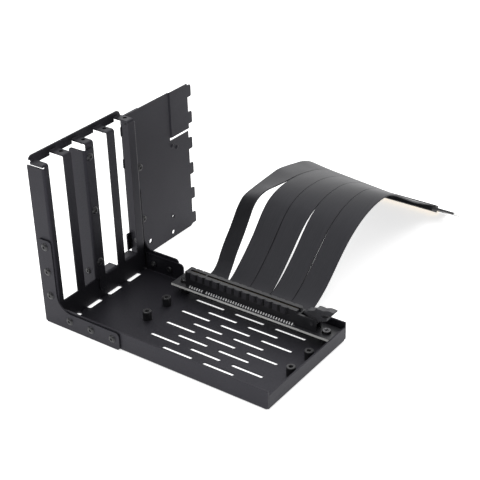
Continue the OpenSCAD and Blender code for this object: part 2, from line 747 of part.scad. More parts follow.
// The plug's pieces are drawn flat, then laid on its slope
module on_slope() translate([0, plug_y, plug_z]) rotate([-plug_slope, 0, 0]) children();
finger_l = 8;
finger_w = 0.7;
finger_t = 0.1;
finger_edge = 0.3;
key_half = 0.95;
latch_cut = [12.5, 9];
latch_cut_y = 4;
heel_y = 6.4;
cover_end = 4;
cover_up_h = 1.9;
cover_down_h = 1.6;
module plug_board() color("gray") placed() on_slope() difference() {
    end = plug_x + plug_l;
    block([plug_x, plug_back, -board_t / 2], [end, plug_tip, board_t / 2]);
    block([end - latch_cut[0], latch_cut_y, -board_t],
        [end - latch_cut[1], plug_tip + through, board_t]);
    block([end - latch_cut[1] - through, heel_y, -board_t],
        [end + through, plug_tip + through, board_t]);
    block([key_x - key_half, plug_tip - finger_l, -board_t],
        [key_x + key_half, plug_tip + through, board_t]);
}

module plug_fingers() color("gold") placed() on_slope()
    for (i = [0:contacts - 1], z = [board_t / 2, -board_t / 2 - finger_t])
        translate([contact_x(i) - finger_w / 2, plug_tip - finger_l - finger_edge, z])
            cube([finger_w, finger_l, finger_t]);

module plug_cover() color(black_plastic) placed() on_slope() {
    x = ribbon_x - 1.5;
    l = strips * (strip_w + strip_gap) + 2;
    block([x, -0.8, board_t / 2], [x + l, cover_end, board_t / 2 + cover_up_h]);
    block([x, plug_back, -board_t / 2 - cover_down_h], [x + l, cover_end, -board_t / 2]);
}

tray();
slot_frame();
bar_stiffener();
hook_plate();
near_gusset();
far_gusset();
near_gusset_rivets();
far_gusset_rivets();
stiffener_rivets();
plate_rivets();
card_posts();
board_posts();
socket_board();
board_insulator();
socket_housing();
socket_contacts();
contact_feet();
socket_latch();
board_screw_left();
board_screw_right();
ribbon_strip_1();
ribbon_strip_2();
ribbon_strip_3();
ribbon_strip_4();
ribbon_strip_5();
solder_cover();
plug_board();
plug_fingers();
plug_cover();
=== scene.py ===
import math

import bmesh
import bpy
from mathutils import Matrix, Vector
from mathutils.geometry import interpolate_bezier


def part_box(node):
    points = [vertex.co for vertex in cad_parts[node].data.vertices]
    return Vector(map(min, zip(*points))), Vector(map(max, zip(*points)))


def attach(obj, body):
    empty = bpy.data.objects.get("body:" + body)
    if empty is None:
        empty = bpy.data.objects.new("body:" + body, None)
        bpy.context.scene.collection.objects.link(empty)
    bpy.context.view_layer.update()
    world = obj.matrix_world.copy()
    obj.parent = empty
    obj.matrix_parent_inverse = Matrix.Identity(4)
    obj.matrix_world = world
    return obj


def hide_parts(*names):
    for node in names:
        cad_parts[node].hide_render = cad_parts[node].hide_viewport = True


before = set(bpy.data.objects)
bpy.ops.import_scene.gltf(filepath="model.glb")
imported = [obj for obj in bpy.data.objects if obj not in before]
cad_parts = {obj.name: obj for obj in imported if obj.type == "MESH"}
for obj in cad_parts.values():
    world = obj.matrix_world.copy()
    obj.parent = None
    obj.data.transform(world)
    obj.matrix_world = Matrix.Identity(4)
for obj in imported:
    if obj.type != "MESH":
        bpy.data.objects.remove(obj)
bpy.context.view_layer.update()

# Camera: it looks down on the tray's free end from the near side, as the photograph does.
# The lens is long, so the metalwork's upright edges stay nearly parallel.
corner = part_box("tray")[0]


def spot(x, y, z):
    """A point given in millimetres from the slot frame's back near corner."""
    return Vector((corner.x + x / 1000, corner.y + y / 1000, z / 1000))


def linked(name, data):
    """A new object in the scene."""
    piece = bpy.data.objects.new(name, data)
    bpy.context.scene.collection.objects.link(piece)
    return piece


camera = linked("camera", bpy.data.cameras.new("camera"))
camera.data.sensor_width = 36
camera.data.lens = 88.2
camera.data.clip_start = 0.02
camera_place = spot(491.33, -448.04, 423.75)
camera_right = Vector((0.81297, 0.58173, -0.02588))
camera_up = Vector((-0.26766, 0.41278, 0.87062))
camera_back = Vector((0.51714, -0.70086, 0.49128))
camera_turn = Matrix((camera_right, camera_up, camera_back)).transposed().to_4x4()
camera.matrix_world = Matrix.Translation(camera_place) @ camera_turn
bpy.context.scene.camera = camera

# Ribbon cable: one flat sheet of fine wires between two matt dark films, slit lengthways into
# five strips between its soldered ends. It arches up from the socket's board and down to the
# edge plug, and the strip on the left is narrower and bows up away from the rest.
board_top = 9.0
near_edge = 82.25
far_edge = 148.5
# The sheet's two edges, each point in Y and height over the board
route_near = [
    (84.6, 0.45), (88, 0.45), (91, 0.6), (95, 1.9), (100, 5), (107, 10.3), (114, 16.2),
    (121, 22.6), (127, 29.2), (132.5, 35.2), (138, 39.8), (144, 42.8), (152, 44.9), (162, 45.7),
    (174, 45), (186, 43), (198, 40), (210, 36), (221, 31), (233, 23), (244, 14.3)]
route_far = [
    (84.6, 0.45), (88, 0.45), (91, 0.5), (96, 1.6), (103, 5), (110, 9.2), (118, 15.4),
    (125, 21.4), (132, 26.9), (139, 31.6), (146, 35.4), (154, 38.8), (163, 41.4), (173, 42.9),
    (183, 43), (192, 41.2), (202, 36.6), (212, 30.3), (222, 24), (232, 18), (244, 11.6)]
# The bowed strip's two edges, each point in X, Y and height over the board
bow_left = [
    (65.5, 84.6, 0.45), (65.5, 88, 0.45), (65.6, 91, 0.5), (66.5, 96, 2.2), (65.9, 102, 6),
    (64.9, 107.5, 11.4), (64.4, 113, 17.2), (64.4, 118.5, 23.2), (64.2, 124, 29.5),
    (63.9, 129.5, 35.7), (64.4, 136, 41.4), (65.1, 144, 43.4), (65.5, 154, 44.5), (65.5, 165, 45.1),
    (65.5, 177, 45.5), (65.5, 187.5, 43.8), (65.5, 198.5, 41.4), (65.5, 210.5, 38.4),
    (65.5, 222.5, 32.6), (65.5, 234.5, 22.8), (65.5, 245, 14.2)]
bow_right = [
    (81.9, 84.6, 0.45), (81.9, 88, 0.45), (81.7, 91, 0.6), (80, 96, 2.6), (78.6, 102, 6.8),
    (78, 107.5, 13), (77.9, 113, 19.4), (77.9, 118.5, 26), (77.9, 124, 33.4), (78, 129.5, 40.6),
    (78.6, 136, 45.2), (79.4, 144, 46.8), (80.6, 153, 46.4), (81.8, 163, 46), (82.2, 174, 45.2),
    (82.2, 186, 43.1), (82.2, 198, 40), (82.2, 210, 36), (82.2, 221, 31), (82.2, 233, 23),
    (82.2, 244, 14.3)]
# How wide each slit between the wide strips opens half way up the rise, and over which points
wide_strips = 4
slits = [0.1, 1.6, 0.34]
closed_slit = 0.02
opening_from = 2
opening_over = 10
opening_taper = 1.5
plug_slope = math.radians(33)
plug_middle = (262, 8.8)
plug_run = (-8, -4.5, -1)
board_t = 1.6
ribbon_t = 0.9


def on_plug(along, up):
    """A point in Y and Z on the plug's slope, by its way along the slope and its height off it."""
    return (plug_middle[0] + along * math.cos(plug_slope) + up * math.sin(plug_slope),
            plug_middle[1] - along * math.sin(plug_slope) + up * math.cos(plug_slope))


def sheet_edge(number, opened):
    """The edge between two of the wide strips, moved sideways by a share of the slit there."""
    line = []
    x = near_edge + (far_edge - near_edge) * number / wide_strips
    share = (x - near_edge) / (far_edge - near_edge)
    for n, (a, b) in enumerate(zip(route_near, route_far)):
        way_along = min(max((n - opening_from) / opening_over, 0), 1)
        swell = math.sin(math.pi * way_along) ** opening_taper
        gap = closed_slit + (slits[number - 1] if 0 < number < wide_strips else 0) * swell
        line.append((x + opened * gap / 2, *(a[k] * (1 - share) + b[k] * share for k in (0, 1))))
    return line


def even_curve(points, count, fineness=12):
    """A smooth curve through the points, as points at even steps."""
    fine = []
    for i in range(len(points) - 1):
        start, end = points[i], points[i + 1]
        before, after = points[max(i - 1, 0)], points[min(i + 2, len(points) - 1)]
        fine += interpolate_bezier(start, start + (end - before) / 6,
                                   end - (after - start) / 6, end, fineness)[:-1]
    fine.append(points[-1])
    length = sum((b - a).length for a, b in zip(fine, fine[1:]))
    stations, walked, i = [], 0.0, 0
    for n in range(count + 1):
        wanted = length * n / count
        while i < len(fine) - 2 and walked + (fine[i + 1] - fine[i]).length < wanted:
            walked += (fine[i + 1] - fine[i]).length
            i += 1
        piece = fine[i + 1] - fine[i]
        stations.append(fine[i] + piece * min((wanted - walked) / piece.length, 1))
    return stations


def as_piece(name, mesh, *materials):
    """An object from a finished bmesh."""
    data = bpy.data.meshes.new(name)
    mesh.to_mesh(data)
    mesh.free()
    for material in materials:
        data.materials.append(material)
    return linked(name, data)


def shader_tree(name):
    """A new material, with its node tree and its surface shader."""
    material = bpy.data.materials.new(name)
    material.use_nodes = True
    tree = material.node_tree
    return material, tree, tree.nodes["Principled BSDF"]


def add_node(tree, kind, values=None, **settings):
    """A node, with its settings and the values of its unlinked sockets."""
    node = tree.nodes.new(kind)
    for name, value in settings.items():
        setattr(node, name, value)
    for socket, value in (values or {}).items():
        node.inputs[socket].default_value = value
    return node


def join(tree, *pairs):
    """Links sockets, each pair from an output to an input."""
    for start, end in pairs:
        tree.links.new(start, end)


def tones(tree, pattern, dark, light, low=0.35, high=0.65):
    """A colour between two tones, as a pattern goes from one value to another."""
    ramp = add_node(tree, "ShaderNodeValToRGB")
    for stop, position, tone in zip(ramp.color_ramp.elements, (low, high), (dark, light)):
        stop.position = position
        stop.color = (*tone, 1)
    join(tree, (pattern, ramp.inputs["Fac"]))
    return ramp.outputs["Color"]


def patchy_gloss(tree, shader, pattern, low, high):
    """Lets a pattern drive a shader's roughness between two limits."""
    limits = add_node(tree, "ShaderNodeMapRange", {"To Min": low, "To Max": high})
    join(tree, (pattern, limits.inputs["Value"]),
         (limits.outputs["Result"], shader.inputs["Roughness"]))


ribbon_film, tree, shader = shader_tree("ribbon_film")
shader.inputs["Specular IOR Level"].default_value = 0.31
shader.inputs["Specular Tint"].default_value = (0.9, 0.89, 1, 1)
way = add_node(tree, "ShaderNodeUVMap", uv_map="lengthwise")
film_grain = add_node(tree, "ShaderNodeMapping", {"Scale": (1400, 60, 1)})
film_cloud = add_node(tree, "ShaderNodeMapping", {"Scale": (60, 24, 1)})
streaks = add_node(tree, "ShaderNodeTexNoise", {"Scale": 1, "Detail": 4, "Roughness": 0.6})
cloud = add_node(tree, "ShaderNodeTexNoise", {"Scale": 1, "Detail": 3})
relief = add_node(tree, "ShaderNodeBump", {"Strength": 0.35, "Distance": 0.00004})
film_tone = tones(tree, streaks.outputs["Fac"], (0.0085, 0.0087, 0.0095), (0.0125, 0.0128, 0.0138))
join(tree, (way.outputs["UV"], film_grain.inputs["Vector"]),
     (way.outputs["UV"], film_cloud.inputs["Vector"]),
     (film_grain.outputs["Vector"], streaks.inputs["Vector"]),
     (film_cloud.outputs["Vector"], cloud.inputs["Vector"]),
     (streaks.outputs["Fac"], relief.inputs["Height"]),
     (relief.outputs["Normal"], shader.inputs["Normal"]),
     (film_tone, shader.inputs["Base Color"]))
patchy_gloss(tree, shader, cloud.outputs["Fac"], 0.4, 0.5)

strip_steps = 140
wire_pitch = 0.8
wire_ridge = 0.06
steps_a_wire = 3
edge_share = 0.8
edge_run = 0.8
rise_point = 5
strip_edges = [(bow_left, bow_right)] + [
    (sheet_edge(number, 1), sheet_edge(number + 1, -1)) for number in range(wide_strips)]


def strip_section(width):
    """The strip's outline, by offsets across it and off it: ridged by its wires, thin at edges."""
    steps = steps_a_wire * round(width / wire_pitch)
    side = []
    for n in range(steps + 1):
        share = n / steps
        edge = min(share, 1 - share) * width
        ridge = wire_ridge * abs(math.sin(math.pi * share * steps / steps_a_wire))
        rise = ribbon_t / 2 * min(1, edge_share + edge / edge_run) - wire_ridge + ridge
        side.append((width * (share - 0.5), rise))
    return side + [(across, -off) for across, off in reversed(side)]


for number, sides in enumerate(strip_edges, 1):
    runs = []
    for side in sides:
        points = [spot(x, y, board_top + z) for x, y, z in side]
        points += [spot(side[-1][0], *on_plug(along, (board_t + ribbon_t) / 2))
                   for along in plug_run]
        runs.append(even_curve(points, strip_steps))
    stations = [(a + b) / 2 for a, b in zip(*runs)]
    length = sum((b - a).length for a, b in zip(stations, stations[1:]))
    width = sum(sides[1][n][0] - sides[0][n][0] for n in (rise_point, -1)) / 2
    section = strip_section(width)
    mesh = bmesh.new()
    uv = mesh.loops.layers.uv.new("lengthwise")
    rings = []
    for n, station in enumerate(stations):
        ahead = stations[min(n + 1, len(stations) - 1)] - stations[max(n - 1, 0)]
        across = runs[1][n] - runs[0][n]
        off = across.cross(ahead).normalized()
        rings.append([mesh.verts.new(station + across * a / width + off * h / 1000)
                      for a, h in section])
    for n in range(len(rings) - 1):
        for m in range(len(section)):
            after = (m + 1) % len(section)
            face = mesh.faces.new((rings[n][m], rings[n + 1][m], rings[n + 1][after],
                                   rings[n][after]))
            corners = ((m, n), (m, n + 1), (after, n + 1), (after, n))
            for loop, (a, b) in zip(face.loops, corners):
                loop[uv].uv = (section[a][0] / 1000, b * length / len(rings))
            face.smooth = True
    mesh.faces.new(reversed(rings[0]))
    mesh.faces.new(rings[-1])
    bmesh.ops.recalc_face_normals(mesh, faces=mesh.faces)
    strip = as_piece(f"strip_{number}", mesh, ribbon_film)
    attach(strip, "mount")
    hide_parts(f"ribbon_strip_{number}")
    middle = (sides[0][0][0] + sides[1][0][0]) / 2

# Studio: a wide white table in a white room that is brighter towards the back, so that the
# black metal shows its faces by their gloss. One soft lamp stands on the near left and a
# larger one hangs overhead.
table_size = 4
table_drop = 0.0002
table_mesh = bmesh.new()
bmesh.ops.create_grid(table_mesh, x_segments=1, y_segments=1, size=table_size)
table_paint, tree, shader = shader_tree("table_paint")
shader.inputs["Roughness"].default_value = 0.9
shader.inputs["Emission Color"].default_value = (1, 1, 1, 1)
shader.inputs["Emission Strength"].default_value = 0.72
table_grain = add_node(tree, "ShaderNodeTexNoise", {"Scale": 40, "Detail": 2})
table_tone = tones(tree, table_grain.outputs["Fac"], (0.84, 0.84, 0.84), (0.86, 0.86, 0.86))
join(tree, (table_tone, shader.inputs["Base Color"]))
table = as_piece("table", table_mesh, table_paint)
table.location.z = -table_drop

world = bpy.data.worlds.new("room")
bpy.context.scene.world = world
world.use_nodes = True
room_light = world.node_tree.nodes["Background"]
room_light.inputs["Color"].default_value = (1, 1, 1, 1)
way_to_back = (-0.5, 0.8, 0.3)
sky_way = add_node(world.node_tree, "ShaderNodeTexCoord")
toward_back = add_node(world.node_tree, "ShaderNodeVectorMath", {1: way_to_back},
                       operation="DOT_PRODUCT")
sky = add_node(world.node_tree, "ShaderNodeMapRange",
               {"From Min": 0.35, "From Max": 0.95, "To Min": 0.34, "To Max": 1.75})
join(world.node_tree, (sky_way.outputs["Generated"], toward_back.inputs[0]),
     (toward_back.outputs["Value"], sky.inputs["Value"]),
     (sky.outputs["Result"], room_light.inputs["Strength"]))
bpy.context.scene.view_settings.view_transform = "Standard"


def soft_lamp(name, place, aim, size, power):
    """A square soft lamp at a place, turned towards a point."""
    lamp = bpy.data.lights.new(name, "AREA")
    lamp.size = size
    lamp.energy = power
    holder = linked(name, lamp)
    holder.location = place
    holder.rotation_euler = (Vector(aim) - Vector(place)).to_track_quat("-Z", "Y").to_euler()


soft_lamp("key_lamp", place=(-0.5, -0.9, 1.1), aim=(0, 0, 0.03), size=0.8, power=4)
soft_lamp("top_lamp", place=(0, 0, 1.2), aim=(0, 0, 0), size=1.4, power=8)

# Corner gussets: two plates that brace the slot frame on the tray, one outside each of its
# sides. Like all the sheet they are one millimetre of steel, baked in a fine-grained black
# coat that wears thin on the cut edges and shows faint cloudy patches on the broad faces.
edge_turn = 0.06


def edge_mask(tree, radius):
    """Marks the edges of a piece, from the difference between its own and a rounded normal."""
    rounded = add_node(tree, "ShaderNodeBevel", {"Radius": radius}, samples=4)
    flat = add_node(tree, "ShaderNodeNewGeometry")
    same = add_node(tree, "ShaderNodeVectorMath", operation="DOT_PRODUCT")
    mask = add_node(tree, "ShaderNodeMapRange",
                    {"From Min": 1.0, "From Max": 1 - edge_turn, "To Min": 0.0, "To Max": 1.0})
    join(tree, (rounded.outputs["Normal"], same.inputs[0]),
         (flat.outputs["Normal"], same.inputs[1]),
         (same.outputs["Value"], mask.inputs["Value"]))
    return mask, rounded


def worn_finish(name, dark, light, worn, grain, cloud_scale, gloss, bump, edge=0.0003, wear=0.5,
                **constants):
    """A finish with a fine grain, broad soft patches, and edges rubbed to another tone."""
    material, tree, shader = shader_tree(name)
    for socket, value in constants.items():
        shader.inputs[socket.replace("_", " ")].default_value = value
    place = add_node(tree, "ShaderNodeTexCoord")
    fine = add_node(tree, "ShaderNodeTexNoise", {"Scale": grain, "Detail": 3, "Roughness": 0.6})
    broad = add_node(tree, "ShaderNodeTexNoise", {"Scale": cloud_scale, "Detail": 4})
    relief = add_node(tree, "ShaderNodeBump", {"Strength": 0.5, "Distance": bump})
    mask, rounded = edge_mask(tree, edge)
    chips = add_node(tree, "ShaderNodeMath", operation="MULTIPLY")
    amount = add_node(tree, "ShaderNodeMath", {1: wear}, operation="MULTIPLY")
    rub = add_node(tree, "ShaderNodeMix", {"B": (*worn, 1)}, data_type="RGBA")
    join(tree, (place.outputs["Object"], fine.inputs["Vector"]),
         (place.outputs["Object"], broad.inputs["Vector"]),
         (fine.outputs["Fac"], relief.inputs["Height"]),
         (rounded.outputs["Normal"], relief.inputs["Normal"]),
         (relief.outputs["Normal"], shader.inputs["Normal"]),
         (mask.outputs["Result"], chips.inputs[0]), (broad.outputs["Fac"], chips.inputs[1]),
         (chips.outputs["Value"], amount.inputs[0]),
         (amount.outputs["Value"], rub.inputs["Factor"]),
         (tones(tree, fine.outputs["Fac"], dark, light), rub.inputs["A"]),
         (rub.outputs["Result"], shader.inputs["Base Color"]))
    patchy_gloss(tree, shader, broad.outputs["Fac"], *gloss)
    return material


def finish_nodes(material, *nodes):
    """Gives CAD nodes a finish."""
    for name in nodes:
        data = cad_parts[name].data
        data.materials.clear()
        data.materials.append(material)


powder_coat = worn_finish(
    "powder_coat", dark=(0.0085, 0.0082, 0.0103), light=(0.0155, 0.015, 0.0182),
    worn=(0.05, 0.05, 0.058), grain=1500, cloud_scale=30, gloss=(0.4, 0.54), bump=0.00003,
    Specular_IOR_Level=0.29, Specular_Tint=(0.86, 0.84, 1, 1))
finish_nodes(powder_coat, "near_gusset", "far_gusset")

# Tray: one folded sheet with lips on three sides. Its stamped vents are wider than the plain
# node's and sit a little farther back, its tongue slots reach under the slot frame's face, and
# its back lip's right part starts closer to the riser board's tongue.


def own_copy(node):
    """A node's shape as a closed mesh of its own, which can then be worked on."""
    mesh = bmesh.new()
    mesh.from_mesh(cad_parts[node].data)
    bmesh.ops.remove_doubles(mesh, verts=mesh.verts, dist=1e-6)
    return mesh


def blocks(name, *corners):
    """Plain blocks in one mesh, each from its lowest and highest corner, to weld on or cut out."""
    mesh = bmesh.new()
    for low, high in corners:
        low, high = spot(*low), spot(*high)
        place = Matrix.Translation((low + high) / 2) @ Matrix.Diagonal((*(high - low), 1))
        bmesh.ops.create_cube(mesh, size=1, matrix=place)
    return as_piece(name, mesh)


def sheet_piece(name, node, mesh, *steps):
    """A coated piece that stands for a node, with solids joined to its mesh or cut out of it."""
    holder = as_piece(name + "_holder", mesh)
    for operation, tool in steps:
        step = holder.modifiers.new(operation, "BOOLEAN")
        step.operation = operation
        step.solver = "EXACT"
        step.use_self = True
        step.object = tool
    graph = bpy.context.evaluated_depsgraph_get()
    made = bpy.data.meshes.new_from_object(holder.evaluated_get(graph), depsgraph=graph)
    for item in (holder, *(tool for _, tool in steps)):
        bpy.data.objects.remove(item)
    made.materials.clear()
    made.materials.append(powder_coat)
    piece = linked(name, made)
    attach(piece, "mount")
    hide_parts(node)


sheet_t = 1
slack = 0.05
vent_rows = ((24, 40, 56, 72), (16, 32, 48, 64))
vent_columns = 5
first_vent = 68.7
vent_pitch = 16
vent_l = 23.6
vent_w = 2
vent_wider = 1.25
vent_shift = 1.2
slot_pitch = 20.32
slot_count = 4
tongue_slot = (14.2, 16.4)
tongue_reach = 4.0
tongue_l = 13
first_tongue = 11.5
tongue_places = [first_tongue + slot_pitch * n for n in range(slot_count)]
tongue_stretch = tongue_reach / (tongue_slot[1] - tongue_slot[0])
tray_mesh = own_copy("tray")
for vertex in tray_mesh.verts:
    x, y, z = (vertex.co - corner) * 1000
    if z > sheet_t + slack:
        continue
    for column in range(vent_columns):
        in_column = -slack < x - first_vent - vent_pitch * column < vent_l + slack
        for middle in vent_rows[column % 2]:
            if in_column and abs(y - middle) < vent_w / 2 + slack:
                vertex.co.y = corner.y + (middle + vent_shift + (y - middle) * vent_wider) / 1000
    at_tongues = tongue_slot[0] - slack < x < tongue_slot[1] + slack
    for middle in tongue_places:
        if at_tongues and abs(y - middle) < tongue_l / 2 + slack:
            vertex.co.x = corner.x + (tongue_slot[1] + (x - tongue_slot[1]) * tongue_stretch) / 1000
lip_start = ((158.8, 86.2, 0.4), (166.4, 87.2, 14.2))
sheet_piece("folded_tray", "tray", tray_mesh, ("UNION", blocks("lip_start", lip_start)))

# Slot frame: one folded sheet whose bars leave four openings and fold back into tapped ledges
# under one upright lip. The lip is whole beside the ledges, the first ledge reaches the near
# side, and the foot is notched over the tray's tongue slots.
first_ledge = ((2.8, 0.2, 114.1), (13.2, 1.9, 115.8))
ledge_start = 4.7
ledge_w = 13.6
relief_w = 1
lip_x = (1, 2)
lip_z = (112.8, 116.6)
notch_x = (12, 14.6)
notch_z = (0.5, 2.2)
reliefs = []
notches = []
for n, middle in enumerate(tongue_places):
    start = ledge_start + slot_pitch * n
    for side in (start, start + ledge_w - relief_w):
        reliefs.append(((lip_x[0], side, lip_z[0]), (lip_x[1], side + relief_w, lip_z[1])))
    notches.append(((notch_x[0], middle - tongue_l / 2, notch_z[0]),
                    (notch_x[1], middle + tongue_l / 2, notch_z[1])))
sheet_piece("folded_slot_frame", "slot_frame", own_copy("slot_frame"),
            ("UNION", blocks("ledge_and_lip", first_ledge, *reliefs)),
            ("DIFFERENCE", blocks("foot_notches", *notches)))

# Angle: a folded strip of the same coated sheet, riveted behind the middle bar to stiffen it.
# Its flange runs on down behind the rail, where one more rivet holds it.
flange_end = ((1.6, 35.5, 8), (12.9, 36.5, 20))
sheet_piece("angle", "bar_stiffener", own_copy("bar_stiffener"),
            ("UNION", blocks("flange_end", flange_end)))

# Hook plate: a flat plate with six hooks at slot pitch, riveted to the slot frame's far flange.
# It is stamped and coated like the rest, and its lowest dimple is bored through.
plate_start = 88.2
dimple = (2, plate_start + 45.7, 17.6)
dimple_r = 1.3
drill_l = 4
drill = bmesh.new()
bmesh.ops.create_cone(drill, segments=32, radius1=dimple_r / 1000, radius2=dimple_r / 1000,
                      depth=drill_l / 1000, cap_ends=True,
                      matrix=Matrix.Translation(spot(*dimple)) @ Matrix.Rotation(math.pi / 2, 4, "Y"))
sheet_piece("hooked_plate", "hook_plate", own_copy("hook_plate"),
            ("DIFFERENCE", as_piece("drill", drill)))

# Blind rivets: black aluminium, with a low domed head and the snapped end of the pulling pin
# left in the pit of each. They hold the gussets, the angle and the hook plate to the frame.


def turned_shape(name, outline, around=32):
    """A shape turned about Z from its outline, given as radius and height in millimetres."""
    mesh = bmesh.new()
    rings = []
    for radius, height in outline:
        if radius == 0:
            rings.append([mesh.verts.new((0, 0, height / 1000))])
            continue
        rings.append([mesh.verts.new((radius / 1000 * math.cos(2 * math.pi * k / around),
                                      radius / 1000 * math.sin(2 * math.pi * k / around),
                                      height / 1000)) for k in range(around)])
    for low, high in zip(rings, rings[1:]):
        for k in range(around):
            after = (k + 1) % around
            ends = [low[k % len(low)], low[after % len(low)],
                    high[after % len(high)], high[k % len(high)]]
            mesh.faces.new(dict.fromkeys(ends))
    bmesh.ops.recalc_face_normals(mesh, faces=mesh.faces)
    shape = as_piece(name, mesh)
    shape.data.shade_smooth()
    shape.data.set_sharp_from_angle(angle=math.radians(35))
    return shape


def new_tree(name, *inputs):
    """An empty geometry node tree with named inputs, each a name, a kind and a default."""
    tree = bpy.data.node_groups.new(name, "GeometryNodeTree")
    for title, kind, value in inputs:
        socket = tree.interface.new_socket(title, in_out="INPUT", socket_type=kind)
        if value is not None:
            socket.default_value = value
    tree.interface.new_socket("Geometry", in_out="OUTPUT", socket_type="NodeSocketGeometry")
    return tree, add_node(tree, "NodeGroupInput"), add_node(tree, "NodeGroupOutput")


def grown(name, tree, places, **sizes):
    """Runs a tree on a set of points, and keeps what it makes as a plain mesh."""
    seed = bpy.data.meshes.new(name + "_places")
    seed.from_pydata([place for place, _ in places], [], [])
    facing = seed.attributes.new("facing", "FLOAT_VECTOR", "POINT")
    for n, (_, out) in enumerate(places):
        facing.data[n].vector = out
    holder = linked(name + "_holder", seed)
    growth = holder.modifiers.new("growth", "NODES")
    growth.node_group = tree
    for socket in tree.interface.items_tree:
        if socket.in_out == "INPUT" and socket.name.lower() in sizes:
            growth[socket.identifier] = sizes[socket.name.lower()]
    graph = bpy.context.evaluated_depsgraph_get()
    made = bpy.data.meshes.new_from_object(holder.evaluated_get(graph), depsgraph=graph)
    bpy.data.objects.remove(holder)
    made.name = name
    return linked(name, made)


fixing_tree, given, result = new_tree(
    "fixings_on_points", ("Geometry", "NodeSocketGeometry", None),
    ("Fixing", "NodeSocketObject", None), ("Finish", "NodeSocketMaterial", None),
    ("Size", "NodeSocketFloat", 1.0))
one = add_node(fixing_tree, "GeometryNodeObjectInfo")
facing = add_node(fixing_tree, "GeometryNodeInputNamedAttribute", {"Name": "facing"},
                  data_type="FLOAT_VECTOR")
aim = add_node(fixing_tree, "FunctionNodeAlignRotationToVector", axis="Z")
stamps = add_node(fixing_tree, "GeometryNodeInstanceOnPoints")
real = add_node(fixing_tree, "GeometryNodeRealizeInstances")
coat = add_node(fixing_tree, "GeometryNodeSetMaterial")
join(fixing_tree, (given.outputs["Geometry"], stamps.inputs["Points"]),
     (given.outputs["Fixing"], one.inputs["Object"]),
     (one.outputs["Geometry"], stamps.inputs["Instance"]),
     (facing.outputs["Attribute"], aim.inputs["Vector"]),
     (aim.outputs["Rotation"], stamps.inputs["Rotation"]),
     (given.outputs["Size"], stamps.inputs["Scale"]),
     (stamps.outputs["Instances"], real.inputs["Geometry"]),
     (real.outputs["Geometry"], coat.inputs["Geometry"]),
     (given.outputs["Finish"], coat.inputs["Material"]),
     (coat.outputs["Geometry"], result.inputs["Geometry"]))

black_rivet = worn_finish(
    "black_rivet", dark=(0.008, 0.008, 0.0095), light=(0.015, 0.015, 0.017),
    worn=(0.09, 0.09, 0.1), grain=2600, cloud_scale=160, gloss=(0.22, 0.36), bump=0.000015,
    edge=0.0002, wear=0.8)
rivet = turned_shape("rivet_pattern", [
    (0, 0.42), (0.5, 0.42), (0.62, 0.3), (0.78, 0.28), (0.84, 0.7), (0.95, 0.94), (1.2, 1.0),
    (1.6, 0.94), (2.05, 0.74), (2.42, 0.46), (2.62, 0.2), (2.7, 0.05), (2.66, 0), (1.6, 0),
    (1.6, -2.0), (1.9, -2.06), (2.1, -2.3), (2.08, -2.8), (1.8, -3.2), (1.2, -3.4), (0.8, -3.36),
    (0.7, -3.2), (0, -3.2)])
near, far, forward = (0, -1, 0), (0, 1, 0), (1, 0, 0)
near_face = -1
far_face = 88.2
upright_x = 8
upright_rivets = (21.9, 39.8, 58)
tray_rivet_z = 7.3
near_tray_rivets = (23, 41.1, 59)
far_tray_rivets = (22, 36)
stiffener_line = (15, 40.1)
stiffener_rivets = (29.6, 68, 106.4)
plate_line = (2, 101.2)
plate_rivets = (70.4, 30)
rivet_rows = {
    "near_gusset_rivets": [(spot(upright_x, near_face, z), near) for z in upright_rivets]
    + [(spot(x, near_face, tray_rivet_z), near) for x in near_tray_rivets],
    "far_gusset_rivets": [(spot(upright_x, far_face, z), far) for z in upright_rivets]
    + [(spot(x, far_face, tray_rivet_z), far) for x in far_tray_rivets],
    "stiffener_rivets": [(spot(*stiffener_line, z), forward) for z in stiffener_rivets],
    "plate_rivets": [(spot(*plate_line, z), forward) for z in plate_rivets]}
for node, places in rivet_rows.items():
    row = grown(node.replace("_rivets", "_blind_rivets"), fixing_tree, places, fixing=rivet,
                finish=black_rivet)
    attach(row, "mount")
    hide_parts(node)

flange_rivet = (8, 35.5, 22.4)
angle_rivet = grown("angle_blind_rivet", fixing_tree, [(spot(*flange_rivet), near)],
                    fixing=rivet, finish=black_rivet, size=0.8)
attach(angle_rivet, "mount")
bpy.data.objects.remove(rivet)

# Threaded posts: turned black studs pressed into the tray's floor, four of them free for another
# slot row and two under the riser's board. Each has a chamfered rim and a tapped bore.
black_stud = worn_finish(
    "black_stud", dark=(0.008, 0.008, 0.0095), light=(0.014, 0.014, 0.016),
    worn=(0.08, 0.08, 0.09), grain=2200, cloud_scale=120, gloss=(0.3, 0.44), bump=0.00001,
    edge=0.0003, wear=0.8)
thread_top = 6.9
thread_pitch = 0.5
thread_turns = 9
thread_root = 1.44
thread_crest = 1.25
thread = []
for turn in reversed(range(thread_turns)):
    height = thread_top - turn * thread_pitch
    thread += [(thread_root, height - thread_pitch / 2), (thread_crest, height)]
post = turned_shape("post_pattern", [
    (0, 2.4), (1.1, 2.4), (1.25, 2.6), *thread, (1.5, 7.3), (1.62, 7.4), (2.6, 7.4), (2.95, 7.1),
    (3.0, 6.9), (3.0, 1.15), (2.85, 1.0), (2.0, 1.0), (2.0, 0.0), (0, 0.0)])
up = (0, 0, 1)
post_columns = (56.5, 169.2)
post_rows = {"card_posts": (36.5, 56.82), "board_posts": (77.14,)}
for node, lines in post_rows.items():
    places = [(spot(x, y, 0), up) for x in post_columns for y in lines]
    row = grown(node.replace("_posts", "_studs"), fixing_tree, places, fixing=post,
                finish=black_stud)
    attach(row, "mount")
    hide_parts(node)
bpy.data.objects.remove(post)

